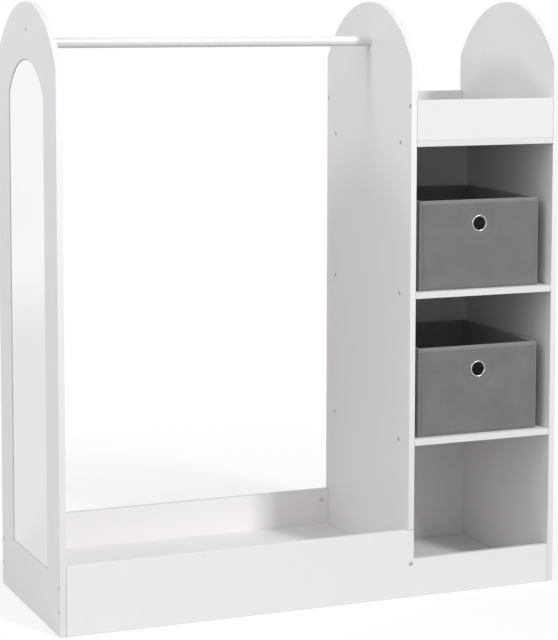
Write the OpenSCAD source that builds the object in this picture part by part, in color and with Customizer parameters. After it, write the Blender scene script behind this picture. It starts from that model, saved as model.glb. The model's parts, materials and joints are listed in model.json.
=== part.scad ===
// Dress up storage unit for children: a hanging bay with a mirror on its outer side, a shoe
// shelf below the rod, and a tower with an open tray and three cubbies, two of them with bins.
// Millimetres. X runs along the length with the mirror panel at -X, the front faces -Y, +Z is up.
// The origin is at the centre of the footprint, on the floor.

/* [Overall] */
// Length over the two end panels
unit_w = 1020; // [900:5:1200]
// Depth of the panels
unit_d = 396; // [360:2:460]
// Height to the top of the arches
unit_h = 1150; // [1120:5:1300]
// Height of the arched part of a panel
arch_rise = 115; // [80:5:160]
// Thickness of the boards
board_t = 12; // [12:1:15]
// Thickness of the back panels of the cubbies
back_t = 3; // [2.5:0.5:4]

/* [Levels] */
// Height of the boards in front of and behind the shoe shelf
low_board_h = 132; // [120:1:150]
// Height of the lip in front of the lowest cubby
lip_h = 75; // [60:1:90]
// Height of the shoe shelf's top
shoe_shelf_z = 59; // [50:1:80]
// Distance of the tray shelf's top below the top of the arches
tray_drop = 263; // [240:1:300]
// Clear height of the upper cubby
upper_cubby_h = 280; // [240:1:300]
// Clear height of the middle cubby; the lowest cubby takes what is left
middle_cubby_h = 274; // [240:1:300]
// Height of the two boards that stand on the tray shelf
tray_board_h = 77; // [60:1:100]

/* [Tower] */
// Clear width of the cubbies
bay_w = 296; // [280:2:360]
// Distance of the cubby backs from the rear edge of the panels
back_inset = 33; // [25:1:60]
// Depth of the grooves that hold the cubby backs
groove_depth = 3; // [2:0.5:4]

/* [Mirror] */
// Width of the mirror recess
mirror_w = 234; // [180:2:260]
// Height of the recess's flat bottom above the floor
mirror_z = 107; // [80:1:160]
// Distance of the recess's top below the top of the arches
mirror_top_margin = 107; // [100:1:200]
// Height of the arched part of the mirror recess
mirror_rise = 66; // [40:1:100]
// Thickness of the mirror
glass_t = 3; // [2:0.5:4]
// Thickness of the mounting tape behind the mirror
tape_t = 1; // [0.8:0.1:1.5]
// Distance of the mirror's face behind the panel's face
mirror_sink = 1.5; // [0.5:0.1:2.5]
// Width of a strip of mounting tape
tape_w = 25; // [15:1:40]

/* [Rod] */
// Diameter of the hanging rod
rod_d = 20; // [16:1:25]
// Distance of the rod's axis below the top of the arches
rod_drop = 77; // [72:1:110]
// Distance of the rod's axis in front of mid-depth
rod_forward = 6; // [0:1:20]
// Height of the socket's bolt above the rod's axis
socket_bolt_up = 25; // [22:1:30]
// Thickness of the socket's plate
socket_plate_t = 5; // [4:0.5:8]
// Width of the socket's arm that the bolt goes through
socket_arm_w = 18; // [14:1:22]
// Depth of the socket's cup
socket_depth = 14; // [10:1:20]
// Wall of the socket's cup
socket_wall = 3; // [2:0.5:5]

/* [Fasteners] */
// Diameter of the bolts' shanks
bolt_d = 4.8; // [4:0.2:6]
// Diameter of the bolts' heads
bolt_head_d = 8; // [7:0.5:10]
// Height of the bolts' heads
bolt_head_h = 3; // [2:0.5:4]
// Length of the bolts, head included
bolt_length = 42; // [36:1:50]
// Length of the tapered tip of the bolts
bolt_tip = 1.5; // [1:0.5:3]
// Width across the flats of the bolts' sockets
hex_af = 4; // [3:0.5:4.5]
// Depth of the bolts' sockets
hex_depth = 2.4; // [1.5:0.1:2.6]
// Distance of the shelf bolts from the front edge
bolt_front = 48; // [30:1:70]
// Distance of the shelf bolts from the rear edge
bolt_rear = 44; // [41:1:44]
// Height of the lower bolts of the low boards
low_bolt_z = 45; // [28:1:46]
// Height of the upper bolts of the low boards
high_bolt_z = 91; // [85:1:105]
// Height of the lower bolt of the lip
lip_low_bolt_z = 22; // [12:1:28]
// Height of the upper bolt of the lip
lip_high_bolt_z = 55; // [46:1:56]
// Distance of the tray boards' bolts below their top edge
tray_bolt_drop = 11; // [8:1:20]
// Height of the screw through the front board into the middle panel
front_screw_z = 65; // [50:1:100]
// Diameter of the dowels
dowel_d = 6; // [5:0.5:6.5]
// Length of the dowels
dowel_length = 24; // [20:1:30]
// Depth of a dowel in a panel's face
dowel_in_panel = 7; // [6:0.5:8]
// Distance of the outer shoe shelf dowels from mid-depth
shoe_dowel_y = 130; // [80:1:150]
// Diameter of the cam locks
cam_d = 10; // [9:0.5:13]
// Height of the cam locks
cam_h = 9; // [8:0.5:10]
// Distance of the cam locks from the end of the board
cam_inset = 16; // [14:1:24]
// Length of the cross slot in a cam lock
cam_slot_length = 7; // [5:0.5:8]
// Width of the cross slot in a cam lock
cam_slot_w = 1.2; // [0.8:0.1:2]
// Depth of the cross slot in a cam lock
cam_slot_depth = 1.5; // [1:0.1:2.5]
// Height of the upper cam lock above the floor
cam_high_z = 109; // [100:1:115]
// Height of the lower cam lock above the floor
cam_low_z = 28; // [20:1:36]
// Clearance round fasteners, the mirror and the cubby backs
fit_gap = 0.2; // [0.1:0.05:0.3]

/* [Bins] */
// Width of a bin
bin_w = 258; // [220:2:260]
// Depth of a bin
bin_d = 304; // [260:2:310]
// Height of a bin
bin_h = 174; // [150:2:200]
// Distance of a bin's front behind the front edge of the shelf
bin_set_back = 17; // [5:1:30]
// Distance of the bins' middle to the left of the cubbies' middle
bin_aside = 3.5; // [0:0.5:8]
// Thickness of the fabric
fabric_t = 0.8; // [0.6:0.1:1.2]
// Thickness of the stiff boards in a bin's walls
stiff_t = 2.2; // [1.5:0.1:3]
// Thickness of the loose board on a bin's bottom
base_t = 2.6; // [2:0.2:4]
// Distance of the grommet's centre below the rim
grommet_drop = 47; // [35:1:60]
// Outer diameter of the grommet
grommet_d = 33; // [32:1:38]
// Diameter of the hole through the grommet
grommet_hole = 26; // [22:0.2:27]
// Thickness of the washer behind the grommet
washer_t = 0.8; // [0.6:0.1:1.2]
// Gap between layers of a bin, and between a bin and its shelf
soft_gap = 0.1; // [0.1:0.05:0.3]
// Gap under a bin
bin_lift = 0.3; // [0.2:0.1:1]

/* [Hidden] */
$fn = 96;

eps = 0.01;                     // cuts run this far past a face
over = 1;                       // discs and cutters run this far past what they trim
arch_facets = 240;              // sides of the round shapes: arches, shanks and cam locks
shank_facets = 32;
cam_facets = 48;
cam_pin_gap = 1;                // from a cam lock's axis to the end of its pin
tip_room = 1;                   // a bolt's hole runs this far past its tip
front_y = -unit_d / 2;          // front edge of the panels
rear_y = unit_d / 2;            // rear edge of the panels
front_board_y = front_y + board_t / 2;   // centre planes of the low and tray boards
rear_board_y = rear_y - board_t / 2;
left_in = -unit_w / 2 + board_t;         // inner face of the left panel
right_in = unit_w / 2 - board_t;         // inner face of the right panel
mid_right = right_in - bay_w;            // middle panel's faces
mid_left = mid_right - board_t;
cubby_floor_z = board_t;                 // top of the cubby floor, which lies on the ground
tray_shelf_z = unit_h - tray_drop;       // tops of the three shelves
upper_shelf_z = tray_shelf_z - board_t - upper_cubby_h;
lower_shelf_z = upper_shelf_z - board_t - middle_cubby_h;
mirror_h = unit_h - mirror_z - mirror_top_margin;
back_y = rear_y - back_inset - back_t;   // front face of the cubby backs
recess_depth = mirror_sink + glass_t + tape_t;
rod_y = -rod_forward;
rod_z = unit_h - rod_drop;
cam_pin_d = bolt_d;
bin_x = (mid_right + right_in) / 2 - bin_aside;
bin_front_y = front_y + bin_set_back;
bin_wall = 2 * fabric_t + stiff_t + 2 * soft_gap;   // a bin's whole wall
stiff_in = fabric_t + soft_gap;                     // the stiff boards' outer faces in the cover
barrel_d = grommet_hole + 2;                        // outside of the grommet's barrel
wall_hole = barrel_d + 2 * fit_gap;                 // hole through a bin's wall

// Bolt places as [y, z], in the end panels and the middle panel
shelf_bolt_ys = [front_y + bolt_front, rear_y - bolt_rear];
tower_tops = [cubby_floor_z, lower_shelf_z, upper_shelf_z, tray_shelf_z];
tower_bolts = [for (top = tower_tops, y = shelf_bolt_ys) [y, top - board_t / 2]];
tray_bolt_z = tray_shelf_z + tray_board_h - tray_bolt_drop;
tray_bolts = [for (y = [front_board_y, rear_board_y]) [y, tray_bolt_z]];
low_bolts = [for (y = [front_board_y, rear_board_y], z = [low_bolt_z, high_bolt_z]) [y, z]];
lip_bolts = [for (z = [lip_low_bolt_z, lip_high_bolt_z]) [front_board_y, z]];
cam_zs = [cam_low_z, cam_high_z];
shoe_dowel_ys = [-shoe_dowel_y, 0, shoe_dowel_y];
tray_dowel_xs = [mid_right + bay_w / 4, right_in - bay_w / 4];

board_white = [0.93, 0.93, 0.94];
fastener_gray = [0.6, 0.6, 0.62];
wood = [0.85, 0.75, 0.58];
fabric_gray = [0.5, 0.5, 0.5];
cardboard = [0.7, 0.58, 0.42];

// ---- shared shapes ----

// A plate on the YZ plane with a flat bottom and an arched top, from x = 0 to t
module arched_plate(w, h, rise, t) {
    arch_r = (w * w / 4 + rise * rise) / (2 * rise);
    below_arch = (w / 2 + arch_r) / 2;   // half the width of the block under the arch's disc
    intersection() {
        translate([0, -w / 2, 0])
            cube([t, w, h + over]);
        union() {
            translate([-over, 0, h - arch_r])
                rotate([0, 90, 0])
                    cylinder(r = arch_r, h = t + 2 * over, $fn = arch_facets);
            translate([-over, -below_arch, -over])
                cube([t + 2 * over, 2 * below_arch, h - arch_r + over]);
        }
    }
}

// A rod along +X from the given point
module x_cylinder(at, d, len) {
    translate(at)
        rotate([0, 90, 0])
            cylinder(d = d, h = len, $fn = shank_facets);
}

// A bolt along +X with its head's outer face at x = 0 and a hexagonal socket in it
module bolt(len = bolt_length) {
    difference() {
        union() {
            x_cylinder([0, 0, 0], bolt_head_d, bolt_head_h);
            x_cylinder([0, 0, 0], bolt_d, len - bolt_tip);
            translate([len - bolt_tip, 0, 0])
                rotate([0, 90, 0])
                    cylinder(d1 = bolt_d, d2 = bolt_d - bolt_tip, h = bolt_tip, $fn = shank_facets);
        }
        translate([-eps, 0, 0])
            rotate([0, 90, 0])
                cylinder(d = hex_af / cos(30), h = hex_depth + eps, $fn = 6);
    }
}

// What a bolt needs: a seat for its head in the panel, and a hole past its tip
module bolt_hole(len = bolt_length) {
    x_cylinder([-eps, 0, 0], bolt_head_d + 2 * fit_gap, bolt_head_h + eps);
    x_cylinder([-eps, 0, 0], bolt_d + 2 * fit_gap, len + tip_room + eps);
}

// A dowel along +X, starting dowel_in_panel before x = 0
module dowel() {
    x_cylinder([-dowel_in_panel, 0, 0], dowel_d, dowel_length);
}

module dowel_hole() {
    x_cylinder([-dowel_in_panel - fit_gap, 0, 0], dowel_d + 2 * fit_gap, dowel_length + 2 * fit_gap);
}

// Copies of the children at [y, z] places on the plane at x, pointing to +X
module at_places(x, places) {
    for (p = places)
        translate([x, p[0], p[1]])
            children();
}

// The same on the plane at x, pointing to -X
module at_places_back(x, places) {
    for (p = places)
        translate([x, p[0], p[1]])
            mirror([1, 0, 0])
                children();
}

// Everything that is drilled for bolts, dowels and cam pins, wherever it lies
module all_bolt_holes() {
    at_places(-unit_w / 2, low_bolts) bolt_hole();
    at_places(mid_left, concat(tower_bolts, tray_bolts)) bolt_hole();
    at_places_back(unit_w / 2, concat(tower_bolts, tray_bolts, lip_bolts)) bolt_hole();
}

module all_dowel_holes() {
    shoe_places = [for (y = shoe_dowel_ys) [y, shoe_shelf_z - board_t / 2]];
    tower_places = [for (top = tower_tops) [0, top - board_t / 2]];
    at_places(left_in, shoe_places) dowel_hole();
    at_places_back(mid_left, shoe_places) dowel_hole();
    at_places(mid_right, tower_places) dowel_hole();
    at_places_back(right_in, tower_places) dowel_hole();
}

// The groove in the panels' faces for the cubby backs
module back_grooves() {
    translate([
        mid_right - groove_depth, back_y - fit_gap, cubby_floor_z - groove_depth
    ])
        cube([
            bay_w + 2 * groove_depth, back_t + 2 * fit_gap,
            tray_shelf_z - board_t - cubby_floor_z + 2 * groove_depth
        ]);
}

// A board of the tower between the middle and right panels
module tower_board(top) {
    difference() {
        translate([mid_right, front_y, top - board_t])
            cube([bay_w, unit_d, board_t]);
        all_bolt_holes();
        all_dowel_holes();
    }
}

// One groove across a tower board, from z down or up by groove_depth
module shelf_groove(z) {
    translate([mid_right - eps, back_y - fit_gap, z])
        cube([bay_w + 2 * eps, back_t + 2 * fit_gap, groove_depth]);
}

// ---- panels ----

module left_panel() {
    color(board_white)
        difference() {
            translate([-unit_w / 2, 0, 0])
                arched_plate(unit_d, unit_h, arch_rise, board_t);
            translate([-unit_w / 2 - eps, 0, mirror_z])
                arched_plate(mirror_w, mirror_h, mirror_rise, recess_depth + eps);
            all_bolt_holes();
            all_dowel_holes();
            translate([-unit_w / 2, rod_y, rod_z + socket_bolt_up])
                bolt_hole(board_t + socket_plate_t);
        }
}

module middle_panel() {
    color(board_white)
        difference() {
            translate([mid_left, 0, 0])
                arched_plate(unit_d, unit_h, arch_rise, board_t);
            translate([mid_left - eps, front_y - eps, -eps])
                cube([board_t + 2 * eps, board_t + eps, low_board_h + fit_gap + eps]);
            all_bolt_holes();
            all_dowel_holes();
            back_grooves();
            front_screw_hole();
            cam_pin_holes();
            translate([mid_right, rod_y, rod_z])
                mirror([1, 0, 0])
                    bolt_hole();
        }
}

module right_panel() {
    color(board_white)
        difference() {
            translate([right_in, 0, 0])
                arched_plate(unit_d, unit_h, arch_rise, board_t);
            all_bolt_holes();
            all_dowel_holes();
            back_grooves();
        }
}

// ---- mirror ----

module mirror_glass() {
    color([0.86, 0.9, 0.92])
        translate([-unit_w / 2 + mirror_sink, 0, mirror_z + fit_gap])
            arched_plate(mirror_w - 2 * fit_gap, mirror_h - 2 * fit_gap, mirror_rise, glass_t);
}

// Three upright strips between the mirror and the bottom of its recess
module mirror_tape() {
    strip_h = mirror_h - mirror_rise - 2 * tape_w;
    color([0.9, 0.9, 0.88])
        for (y = [-1, 0, 1] * (mirror_w / 2 - tape_w - tape_w / 2))
            translate([
                -unit_w / 2 + mirror_sink + glass_t, y - tape_w / 2, mirror_z + tape_w
            ])
                cube([tape_t, tape_w, strip_h]);
}

// ---- low boards ----

// One stepped board: full height to the middle panel's right face, then the lip
module front_board() {
    color(board_white)
        difference() {
            translate([0, front_y + board_t, 0])
                rotate([90, 0, 0])
                    linear_extrude(board_t)
                        polygon([
                            [left_in, 0], [right_in, 0], [right_in, lip_h],
                            [mid_right, lip_h], [mid_right, low_board_h], [left_in, low_board_h]
                        ]);
            all_bolt_holes();
            front_screw_hole();
        }
}

// The screw enters the front board on the middle panel's centre plane
module front_screw_place() {
    translate([mid_left + board_t / 2, front_y, front_screw_z])
        rotate([0, 0, 90])
            children();
}

module front_screw_hole() {
    front_screw_place()
        bolt_hole();
}

module front_board_screw() {
    color(fastener_gray)
        front_screw_place()
            bolt();
}

module shoe_shelf() {
    color(board_white)
        difference() {
            translate([left_in, front_y + board_t, shoe_shelf_z - board_t])
                cube([mid_left - left_in, unit_d - 2 * board_t, board_t]);
            all_dowel_holes();
        }
}

module shoe_rear_board() {
    color(board_white)
        difference() {
            translate([left_in, rear_y - board_t, 0])
                cube([mid_left - left_in, board_t, low_board_h]);
            all_bolt_holes();
            cam_pin_holes();
            for (z = cam_zs)
                translate([mid_left - cam_inset, rear_y - board_t - eps, z])
                    rotate([-90, 0, 0])
                        cylinder(d = cam_d + 2 * fit_gap, h = cam_h + fit_gap + eps, $fn = cam_facets);
        }
}

module cam_pin_holes() {
    for (z = cam_zs)
        x_cylinder(
            [mid_left - cam_inset, rear_board_y, z], cam_pin_d + 2 * fit_gap,
            cam_inset + dowel_in_panel + fit_gap
        );
}

// Round locks sunk in the rear board's front face, with a cross slot
module cam_locks() {
    color(fastener_gray)
        for (z = cam_zs)
            translate([mid_left - cam_inset, rear_y - board_t, z])
                difference() {
                    rotate([-90, 0, 0])
                        cylinder(d = cam_d, h = cam_h, $fn = cam_facets);
                    for (turn = [0, 90])
                        rotate([0, turn, 0])
                            translate([-cam_slot_length / 2, -eps, -cam_slot_w / 2])
                                cube([cam_slot_length, cam_slot_depth + eps, cam_slot_w]);
                    x_cylinder([-eps, board_t / 2, 0], cam_pin_d + 2 * fit_gap, cam_d);
                }
}

// Pins from the middle panel into the cam locks
module cam_pins() {
    color(fastener_gray)
        for (z = cam_zs)
            x_cylinder(
                [mid_left - cam_inset + cam_pin_gap, rear_board_y, z], cam_pin_d,
                cam_inset - cam_pin_gap + dowel_in_panel
            );
}

// ---- tower boards ----

// The floor's front edge meets the back of the lip
module cubby_floor() {
    color(board_white)
        difference() {
            tower_board(cubby_floor_z);
            translate([mid_right - eps, front_y - eps, -eps])
                cube([bay_w + 2 * eps, board_t + eps, board_t + 2 * eps]);
            shelf_groove(cubby_floor_z - groove_depth + eps);
        }
}

module cubby_shelf(top) {
    color(board_white)
        difference() {
            tower_board(top);
            shelf_groove(top - groove_depth + eps);
            shelf_groove(top - board_t - eps);
        }
}

module lower_shelf() cubby_shelf(lower_shelf_z);

module upper_shelf() cubby_shelf(upper_shelf_z);

module tray_shelf() {
    color(board_white)
        difference() {
            tower_board(tray_shelf_z);
            shelf_groove(tray_shelf_z - board_t - eps);
            tray_dowel_holes();
        }
}

module tray_board(y) {
    color(board_white)
        difference() {
            translate([mid_right, y - board_t / 2, tray_shelf_z])
                cube([bay_w, board_t, tray_board_h]);
            all_bolt_holes();
            tray_dowel_holes();
        }
}

module tray_front_board() tray_board(front_board_y);

module tray_rear_board() tray_board(rear_board_y);

// A thin panel in the grooves between the tops of two boards
module cubby_back(below, above) {
    bite = groove_depth - fit_gap;
    color([0.88, 0.88, 0.88])
        translate([mid_right - bite, back_y, below - bite])
            cube([bay_w + 2 * bite, back_t, above - board_t - below + 2 * bite]);
}

module lower_cubby_back() cubby_back(cubby_floor_z, lower_shelf_z);

module middle_cubby_back() cubby_back(lower_shelf_z, upper_shelf_z);

module upper_cubby_back() cubby_back(upper_shelf_z, tray_shelf_z);

// ---- rod ----

// The rod runs from the socket's plate to the middle panel's face
module hanging_rod() {
    rod_left = left_in + socket_plate_t;
    color([0.95, 0.93, 0.88])
        difference() {
            translate([rod_left, rod_y, rod_z])
                rotate([0, 90, 0])
                    cylinder(d = rod_d, h = mid_left - rod_left);
            translate([mid_right, rod_y, rod_z])
                mirror([1, 0, 0])
                    bolt_hole();
        }
}

// A cup on a plate that hangs from one bolt above the rod
module rod_socket() {
    cup_d = rod_d + 2 * socket_wall + 2 * fit_gap;
    color([0.93, 0.93, 0.93])
        difference() {
            union() {
                x_cylinder([left_in, rod_y, rod_z], cup_d, socket_plate_t + socket_depth);
                x_cylinder([left_in, rod_y, rod_z + socket_bolt_up], socket_arm_w, socket_plate_t);
                translate([left_in, rod_y - socket_arm_w / 2, rod_z])
                    cube([socket_plate_t, socket_arm_w, socket_bolt_up]);
            }
            x_cylinder(
                [left_in + socket_plate_t, rod_y, rod_z], rod_d + 2 * fit_gap, socket_depth + eps
            );
            x_cylinder(
                [left_in - eps, rod_y, rod_z + socket_bolt_up], bolt_d + 2 * fit_gap,
                socket_plate_t + 2 * eps
            );
        }
}

module rod_socket_bolt() {
    color(fastener_gray)
        translate([-unit_w / 2, rod_y, rod_z + socket_bolt_up])
            bolt(board_t + socket_plate_t);
}

module rod_end_bolt() {
    color(fastener_gray)
        translate([mid_right, rod_y, rod_z])
            mirror([1, 0, 0])
                bolt();
}

// ---- fasteners ----

module left_panel_bolts() {
    color(fastener_gray)
        at_places(-unit_w / 2, low_bolts) bolt();
}

module middle_panel_bolts() {
    color(fastener_gray)
        at_places(mid_left, concat(tower_bolts, tray_bolts)) bolt();
}

module right_panel_bolts() {
    color(fastener_gray)
        at_places_back(unit_w / 2, concat(tower_bolts, tray_bolts, lip_bolts)) bolt();
}

module shoe_shelf_dowels() {
    places = [for (y = shoe_dowel_ys) [y, shoe_shelf_z - board_t / 2]];
    color(wood) {
        at_places(left_in, places) dowel();
        at_places_back(mid_left, places) dowel();
    }
}

module tower_dowels() {
    places = [for (top = tower_tops) [0, top - board_t / 2]];
    color(wood) {
        at_places(mid_right, places) dowel();
        at_places_back(right_in, places) dowel();
    }
}

// Upright dowels between the tray shelf and the two boards on it
module tray_dowel_places() {
    for (x = tray_dowel_xs, y = [front_board_y, rear_board_y])
        translate([x, y, tray_shelf_z])
            rotate([0, -90, 0])
                children();
}

module tray_dowel_holes() {
    tray_dowel_places()
        dowel_hole();
}

module tray_dowels() {
    color(wood)
        tray_dowel_places()
            dowel();
}

// ---- bins ----

// Children are drawn with the bin's front bottom edge centred on the origin
module on_shelf(shelf_z) {
    translate([bin_x, bin_front_y, shelf_z + bin_lift])
        children();
}

// A block inset from the bin's outer faces by the given distance, between two heights
module bin_block(inset, z0, z1) {
    translate([-bin_w / 2 + inset, inset, z0])
        cube([bin_w - 2 * inset, bin_d - 2 * inset, z1 - z0]);
}

// The grommet's axis runs along +Y from the front wall's face
module grommet_place() {
    translate([0, 0, bin_h - grommet_drop])
        rotate([-90, 0, 0])
            children();
}

module bin_wall_hole() {
    grommet_place()
        translate([0, 0, -over])
            cylinder(d = wall_hole, h = bin_wall + 2 * over);
}

// The outer fabric, folded over the rim
module bin_cover() {
    color(fabric_gray)
        difference() {
            bin_block(0, 0, bin_h);
            bin_block(fabric_t, fabric_t, bin_h - fabric_t);
            bin_block(bin_wall, fabric_t, bin_h + over);
            bin_wall_hole();
        }
}

// Stiff boards between the cover and the lining
module bin_front_stiffener() {
    color(cardboard)
        difference() {
            translate([-bin_w / 2 + stiff_in, stiff_in, stiff_in])
                cube([bin_w - 2 * stiff_in, stiff_t, bin_h - 2 * stiff_in]);
            bin_wall_hole();
        }
}

// Both sides and the rear; the sides stand between the front and rear boards
module bin_side_stiffeners() {
    side_y = stiff_in + stiff_t + soft_gap;
    color(cardboard) {
        for (x = [-bin_w / 2 + stiff_in, bin_w / 2 - stiff_in - stiff_t])
            translate([x, side_y, stiff_in])
                cube([stiff_t, bin_d - 2 * side_y, bin_h - 2 * stiff_in]);
        translate([-bin_w / 2 + stiff_in, bin_d - stiff_in - stiff_t, stiff_in])
            cube([bin_w - 2 * stiff_in, stiff_t, bin_h - 2 * stiff_in]);
    }
}

module bin_lining() {
    color(fabric_gray)
        difference() {
            bin_block(bin_wall - fabric_t, stiff_in, bin_h - stiff_in);
            bin_block(bin_wall, stiff_in + fabric_t, bin_h);
            bin_wall_hole();
        }
}

module bin_base_board() {
    base_z = 2 * fabric_t + 2 * soft_gap;
    color(fabric_gray)
        bin_block(bin_wall + 2 * soft_gap, base_z, base_z + base_t);
}

// A half-round ring in front, with a barrel through the wall
module bin_grommet() {
    ring_r = (grommet_d - grommet_hole) / 4;
    color([0.75, 0.75, 0.76])
        grommet_place()
            rotate_extrude() {
                intersection() {
                    translate([grommet_hole / 2 + ring_r, 0])
                        circle(ring_r, $fn = shank_facets);
                    translate([0, -2 * ring_r])
                        square([grommet_d, 2 * ring_r]);
                }
                translate([grommet_hole / 2, -eps])
                    square([(barrel_d - grommet_hole) / 2, bin_wall + washer_t + eps]);
            }
}

module bin_washer() {
    color([0.75, 0.75, 0.76])
        grommet_place()
            translate([0, 0, bin_wall])
                difference() {
                    cylinder(d = grommet_d, h = washer_t);
                    translate([0, 0, -over])
                        cylinder(d = wall_hole, h = washer_t + 2 * over);
                }
}

module upper_bin_cover() on_shelf(upper_shelf_z) bin_cover();
module upper_bin_front_stiffener() on_shelf(upper_shelf_z) bin_front_stiffener();
module upper_bin_side_stiffeners() on_shelf(upper_shelf_z) bin_side_stiffeners();
module upper_bin_lining() on_shelf(upper_shelf_z) bin_lining();
module upper_bin_base_board() on_shelf(upper_shelf_z) bin_base_board();
module upper_bin_grommet() on_shelf(upper_shelf_z) bin_grommet();
module upper_bin_washer() on_shelf(upper_shelf_z) bin_washer();

module lower_bin_cover() on_shelf(lower_shelf_z) bin_cover();
module lower_bin_front_stiffener() on_shelf(lower_shelf_z) bin_front_stiffener();
module lower_bin_side_stiffeners() on_shelf(lower_shelf_z) bin_side_stiffeners();
module lower_bin_lining() on_shelf(lower_shelf_z) bin_lining();
module lower_bin_base_board() on_shelf(lower_shelf_z) bin_base_board();
module lower_bin_grommet() on_shelf(lower_shelf_z) bin_grommet();
module lower_bin_washer() on_shelf(lower_shelf_z) bin_washer();

// ---- assembly ----

left_panel();
middle_panel();
right_panel();
mirror_glass();
mirror_tape();
front_board();
shoe_shelf();
shoe_rear_board();
cubby_floor();
lower_shelf();
upper_shelf();
tray_shelf();
tray_front_board();
tray_rear_board();
lower_cubby_back();
middle_cubby_back();
upper_cubby_back();
hanging_rod();
rod_socket();
rod_socket_bolt();
rod_end_bolt();
left_panel_bolts();
middle_panel_bolts();
right_panel_bolts();
front_board_screw();
cam_locks();
cam_pins();
shoe_shelf_dowels();
tower_dowels();
tray_dowels();
upper_bin_cover();
upper_bin_front_stiffener();
upper_bin_side_stiffeners();
upper_bin_lining();
upper_bin_base_board();
upper_bin_grommet();
upper_bin_washer();
lower_bin_cover();
lower_bin_front_stiffener();
lower_bin_side_stiffeners();
lower_bin_lining();
lower_bin_base_board();
lower_bin_grommet();
lower_bin_washer();
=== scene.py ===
"""Looks of a children's dress up storage unit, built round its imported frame.

Laminated boards with eased edges and edge bands, an arched mirror, a painted rod, plated
fasteners and two sewn fabric bins. Metres; X along the length, the front faces -Y, +Z is up.
"""

import json
import math

import bmesh
import bpy
from mathutils import Matrix, Vector, noise


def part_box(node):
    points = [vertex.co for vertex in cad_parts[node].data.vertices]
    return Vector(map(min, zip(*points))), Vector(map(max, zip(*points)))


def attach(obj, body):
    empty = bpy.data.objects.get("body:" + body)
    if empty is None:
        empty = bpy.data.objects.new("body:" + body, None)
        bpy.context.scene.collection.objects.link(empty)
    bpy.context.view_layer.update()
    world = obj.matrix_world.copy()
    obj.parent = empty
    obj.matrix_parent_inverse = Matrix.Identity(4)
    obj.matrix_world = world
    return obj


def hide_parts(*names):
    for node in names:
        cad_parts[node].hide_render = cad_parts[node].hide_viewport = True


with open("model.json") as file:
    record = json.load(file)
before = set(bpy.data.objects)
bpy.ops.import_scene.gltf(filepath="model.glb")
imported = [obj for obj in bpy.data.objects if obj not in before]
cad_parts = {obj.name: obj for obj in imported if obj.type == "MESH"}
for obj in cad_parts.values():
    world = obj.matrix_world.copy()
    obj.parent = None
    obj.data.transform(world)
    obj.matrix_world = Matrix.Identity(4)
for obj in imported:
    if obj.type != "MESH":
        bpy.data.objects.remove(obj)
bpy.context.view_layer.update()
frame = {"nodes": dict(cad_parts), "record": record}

NODES = frame["nodes"]
BODIES = frame["record"]["behaviour"]["bodies"]
BODY_OF = {node: body for body, nodes in BODIES.items() for node in nodes}
SLOT_OF = {part["node"]: part["material_slot"] for part in frame["record"]["subparts"]}
MM = 0.001


def new_object(name, data):
    made = bpy.data.objects.new(name, data)
    bpy.context.scene.collection.objects.link(made)
    return made


# ---- camera ----

FRAME_HEIGHT = 640                       # pixels, the frame's long side
SENSOR = 36.0                            # mm, along the frame's long side
FOCAL_PIXELS = 2103.1
AXIS_ROW = 208                           # pixel row of the lens axis
EYE = Vector((-1.5677, -3.7879, 1.1461))
LOOK_AZIMUTH = math.radians(22.483)      # turned from +Y towards +X
LOOK_DOWN = math.radians(5.548)
LOOK_ROLL = math.radians(0.088)


def make_camera():
    data = bpy.data.cameras.new("camera")
    data.sensor_width = SENSOR
    data.lens = FOCAL_PIXELS * SENSOR / FRAME_HEIGHT
    data.shift_y = (AXIS_ROW - FRAME_HEIGHT / 2) / FRAME_HEIGHT
    camera = new_object("camera", data)
    turn = Matrix.Rotation(-LOOK_AZIMUTH, 4, "Z") @ Matrix.Rotation(math.pi / 2 - LOOK_DOWN, 4, "X")
    camera.matrix_world = Matrix.Translation(EYE) @ turn @ Matrix.Rotation(LOOK_ROLL, 4, "Z")
    bpy.context.scene.camera = camera


# ---- node helpers ----

NOISE_LOW, NOISE_HIGH = 0.3, 0.7         # most values of a noise texture lie between these
COLOUR_A, COLOUR_B, COLOUR_OUT = 6, 7, 2     # the mix node's sockets when it mixes colours


def add(tree, kind, inputs=None, **settings):
    """Adds a node; inputs holds values or sockets by input name or number."""
    node = tree.nodes.new(kind)
    for name, value in settings.items():
        setattr(node, name, value)
    for name, value in (inputs or {}).items():
        if isinstance(value, bpy.types.NodeSocket):
            tree.links.new(value, node.inputs[name])
        else:
            node.inputs[name].default_value = value
    return node


def place_coordinates(tree, stretch=(1, 1, 1)):
    """Coordinates on the piece in metres, stretched for grain that runs one way."""
    place = add(tree, "ShaderNodeTexCoord").outputs["Object"]
    return add(tree, "ShaderNodeMapping", {"Vector": place, "Scale": stretch}).outputs["Vector"]


def grain(tree, where, scale, detail=3.0, roughness=0.5):
    """Noise from 0 to 1; a scale of 1000 makes grains of about a millimetre."""
    inputs = {"Vector": where, "Scale": scale, "Detail": detail, "Roughness": roughness}
    return add(tree, "ShaderNodeTexNoise", inputs).outputs["Fac"]


def remap(tree, value, start, end, low=0.0, high=1.0, **settings):
    """A value that goes from low to high as another goes from start to end."""
    inputs = {"Value": value, "From Min": start, "From Max": end, "To Min": low, "To Max": high}
    return add(tree, "ShaderNodeMapRange", inputs, **settings).outputs["Result"]


def between(tree, amount, low=0.0, high=1.0):
    """A value that goes from low to high over the range where noise lies."""
    return remap(tree, amount, NOISE_LOW, NOISE_HIGH, low, high)


def blend_colours(tree, amount, first, second):
    node = add(tree, "ShaderNodeMix", {0: amount}, data_type="RGBA")
    for socket, colour in ((node.inputs[COLOUR_A], first), (node.inputs[COLOUR_B], second)):
        if isinstance(colour, bpy.types.NodeSocket):
            tree.links.new(colour, socket)
        else:
            socket.default_value = (*colour, 1)
    return node.outputs[COLOUR_OUT]


def scaled(colour, share):
    return tuple(share * c for c in colour)


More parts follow.
